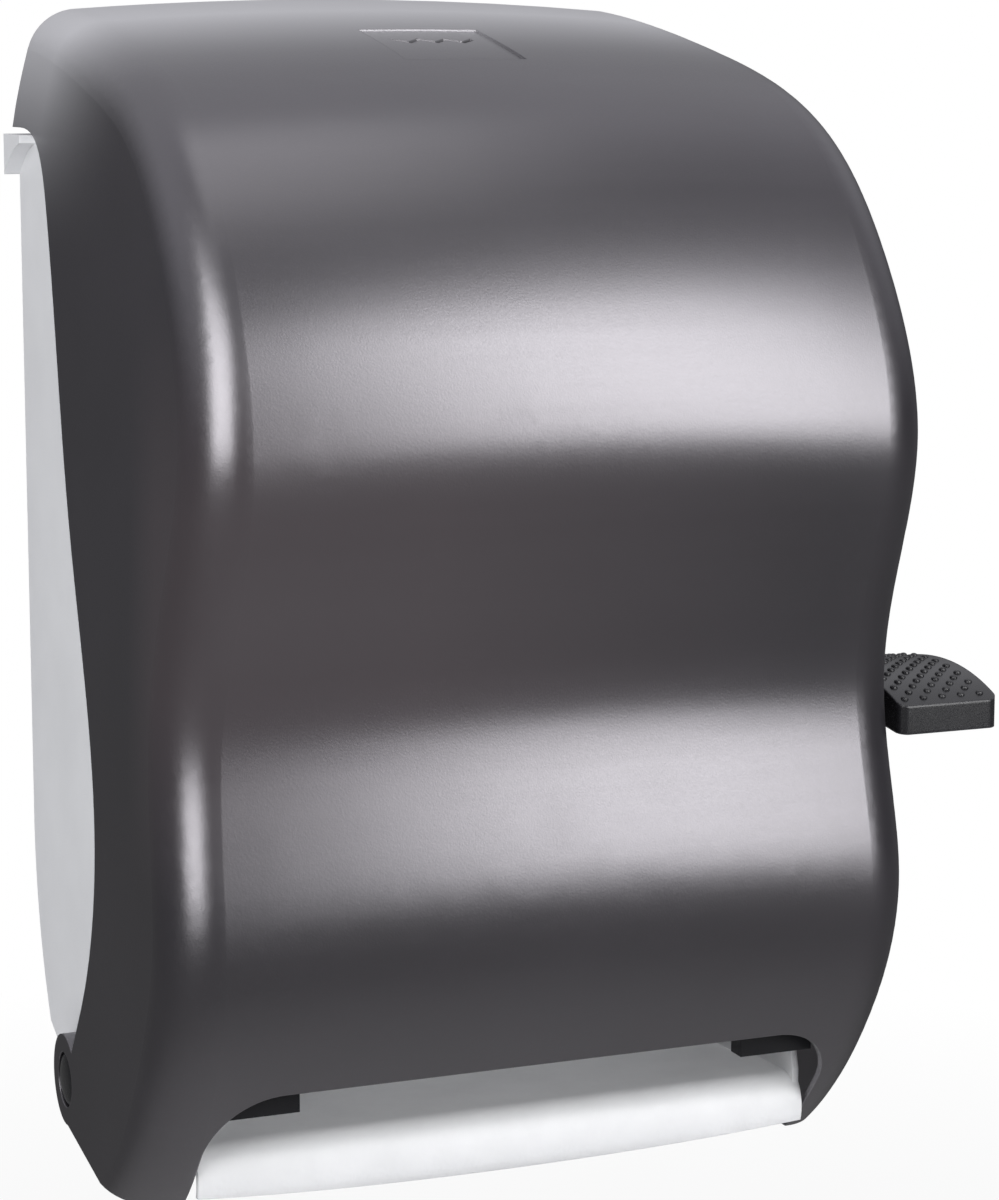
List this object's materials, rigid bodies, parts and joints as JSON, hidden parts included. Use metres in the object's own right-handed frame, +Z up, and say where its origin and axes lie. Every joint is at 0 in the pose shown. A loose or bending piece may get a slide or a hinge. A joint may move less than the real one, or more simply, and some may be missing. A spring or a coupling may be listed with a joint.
{
  "type": "lever roll towel dispenser",
  "caption": "Wall-mounted lever roll towel dispenser: smoke curved cover on a white chassis, side lever geared to a feed roller, tear bar, chute and keyed lock.",
  "frame": {"origin": "centre of the four wall-bolt holes on the chassis back face", "axes": "+X to the user's right, +Y into the wall, +Z up; the wall is the plane Y = 0"},
  "size_m": [0.3263, 0.2351, 0.4189],
  "materials": {
    "smoke": "satin",
    "white": "satin",
    "black": "satin",
    "acetal": "satin",
    "grey": "satin",
    "steel": "brushed",
    "blade": "polished",
    "spring": "bright",
    "rubber": "matte"
  },
  "bodies": {
    "chassis": {"rear_chassis": "white", "side_frame_left": "grey", "side_frame_right": "grey", "frame_screws": "steel", "chute_lip": "white", "chute_screws": "steel", "tear_bar": "blade", "tear_bar_bracket_left": "black", "tear_bar_bracket_right": "black", "tear_bar_screws": "steel", "stub_roll_cradle": "white", "hinge_pin_left": "black", "hinge_pin_right": "black", "lever_bushing": "acetal", "idler_axle": "steel", "idler_clip": "spring", "feed_bushing_left": "acetal", "feed_bushing_right": "acetal", "pressure_pivot_pins": "steel", "pressure_springs": "spring", "transfer_pivot_pins": "steel", "latch_strike": "steel", "strike_screws": "steel", "roll_arm_pin_left": "steel", "roll_arm_pin_right": "steel", "lever_bumper": "rubber"},
    "cover": {"front_cover": "smoke", "lock_housing": "black", "lock_screws": "steel", "latch_spring": "spring"},
    "latch": {"latch_slide": "black"},
    "lever": {"lever_handle": "black", "lever_shaft": "steel", "lever_screw": "steel", "sector_gear": "acetal", "lever_return_spring": "spring"},
    "idler": {"idler_gear": "acetal"},
    "clutch": {"clutch_gear": "acetal"},
    "feed_roller": {"feed_shaft": "steel", "feed_roller_core": "grey", "feed_roller_grips": "rubber", "feed_clip": "spring"},
    "pressure_frame": {"pressure_arm_left": "grey", "pressure_arm_right": "grey", "pressure_tie_bar": "steel"},
    "pinch_roller": {"pinch_shaft": "steel", "pinch_roller": "rubber"},
    "transfer_bar": {"transfer_bar": "black"},
    "roll_arm_left": {"roll_arm_left": "white"},
    "roll_arm_right": {"roll_arm_right": "white"},
    "roll_hub_left": {"roll_hub_left": "black"},
    "roll_hub_right": {"roll_hub_right": "black"}
  },
  "joints": [
    {"name": "cover_hinge", "type": "hinge", "parent": "chassis", "child": "cover", "pos_m": [0, -0.07, -0.216], "axis": [1, 0, 0], "range_deg": [0, 100]},
    {"name": "latch_travel", "type": "slide", "parent": "cover", "child": "latch", "axis": [0, 0, 1], "range_m": [0, 0.0055], "deforming": ["latch_spring"]},
    {"name": "lever_pivot", "type": "hinge", "parent": "chassis", "child": "lever", "pos_m": [0, -0.06, -0.112], "axis": [1, 0, 0], "range_deg": [0, 40], "stiffness_Nm_per_rad": 0.35, "springref_deg": -34.38},
    {"name": "idler_spin", "type": "hinge", "parent": "chassis", "child": "idler", "pos_m": [0, -0.10585, -0.14913], "axis": [1, 0, 0], "range_deg": [-223, 0]},
    {"name": "clutch_spin", "type": "hinge", "parent": "chassis", "child": "clutch", "pos_m": [0, -0.14078, -0.14042], "axis": [1, 0, 0], "range_deg": [0, 445]},
    {"name": "feed_roller_spin", "type": "hinge", "parent": "chassis", "child": "feed_roller", "pos_m": [0, -0.14078, -0.14042], "axis": [1, 0, 0], "continuous": true},
    {"name": "pressure_frame_pivot", "type": "hinge", "parent": "chassis", "child": "pressure_frame", "pos_m": [0, -0.176, -0.106], "axis": [1, 0, 0], "range_deg": [-5, 0], "stiffness_Nm_per_rad": 0.5, "springref_deg": 17.19},
    {"name": "pinch_roller_spin", "type": "hinge", "parent": "pressure_frame", "child": "pinch_roller", "pos_m": [0, -0.16683, -0.13676], "axis": [1, 0, 0], "continuous": true},
    {"name": "transfer_bar_pivot", "type": "hinge", "parent": "chassis", "child": "transfer_bar", "pos_m": [0, -0.112, -0.09], "axis": [1, 0, 0], "range_deg": [-25, 0]},
    {"name": "roll_arm_left_flex", "type": "hinge", "parent": "chassis", "child": "roll_arm_left", "pos_m": [-0.10635, -0.011, 0.028], "axis": [0, 0, 1], "range_deg": [-6, 0], "stiffness_Nm_per_rad": 0.6, "springref_deg": 8.59},
    {"name": "roll_hub_left_spin", "type": "hinge", "parent": "roll_arm_left", "child": "roll_hub_left", "pos_m": [-0.097, -0.112, 0.028], "axis": [1, 0, 0], "continuous": true},
    {"name": "roll_arm_right_flex", "type": "hinge", "parent": "chassis", "child": "roll_arm_right", "pos_m": [0.10635, -0.011, 0.028], "axis": [0, 0, 1], "range_deg": [0, 6], "stiffness_Nm_per_rad": 0.6, "springref_deg": -8.59},
    {"name": "roll_hub_right_spin", "type": "hinge", "parent": "roll_arm_right", "child": "roll_hub_right", "pos_m": [0.097, -0.112, 0.028], "axis": [1, 0, 0], "continuous": true}
  ],
  "couplings": [
    {"joint": "idler_spin", "follows": "lever_pivot", "ratio": -5.5556},
    {"joint": "clutch_spin", "follows": "lever_pivot", "ratio": 11.111},
    {"joint": "pinch_roller_spin", "follows": "feed_roller_spin", "ratio": -1.6}
  ]
}
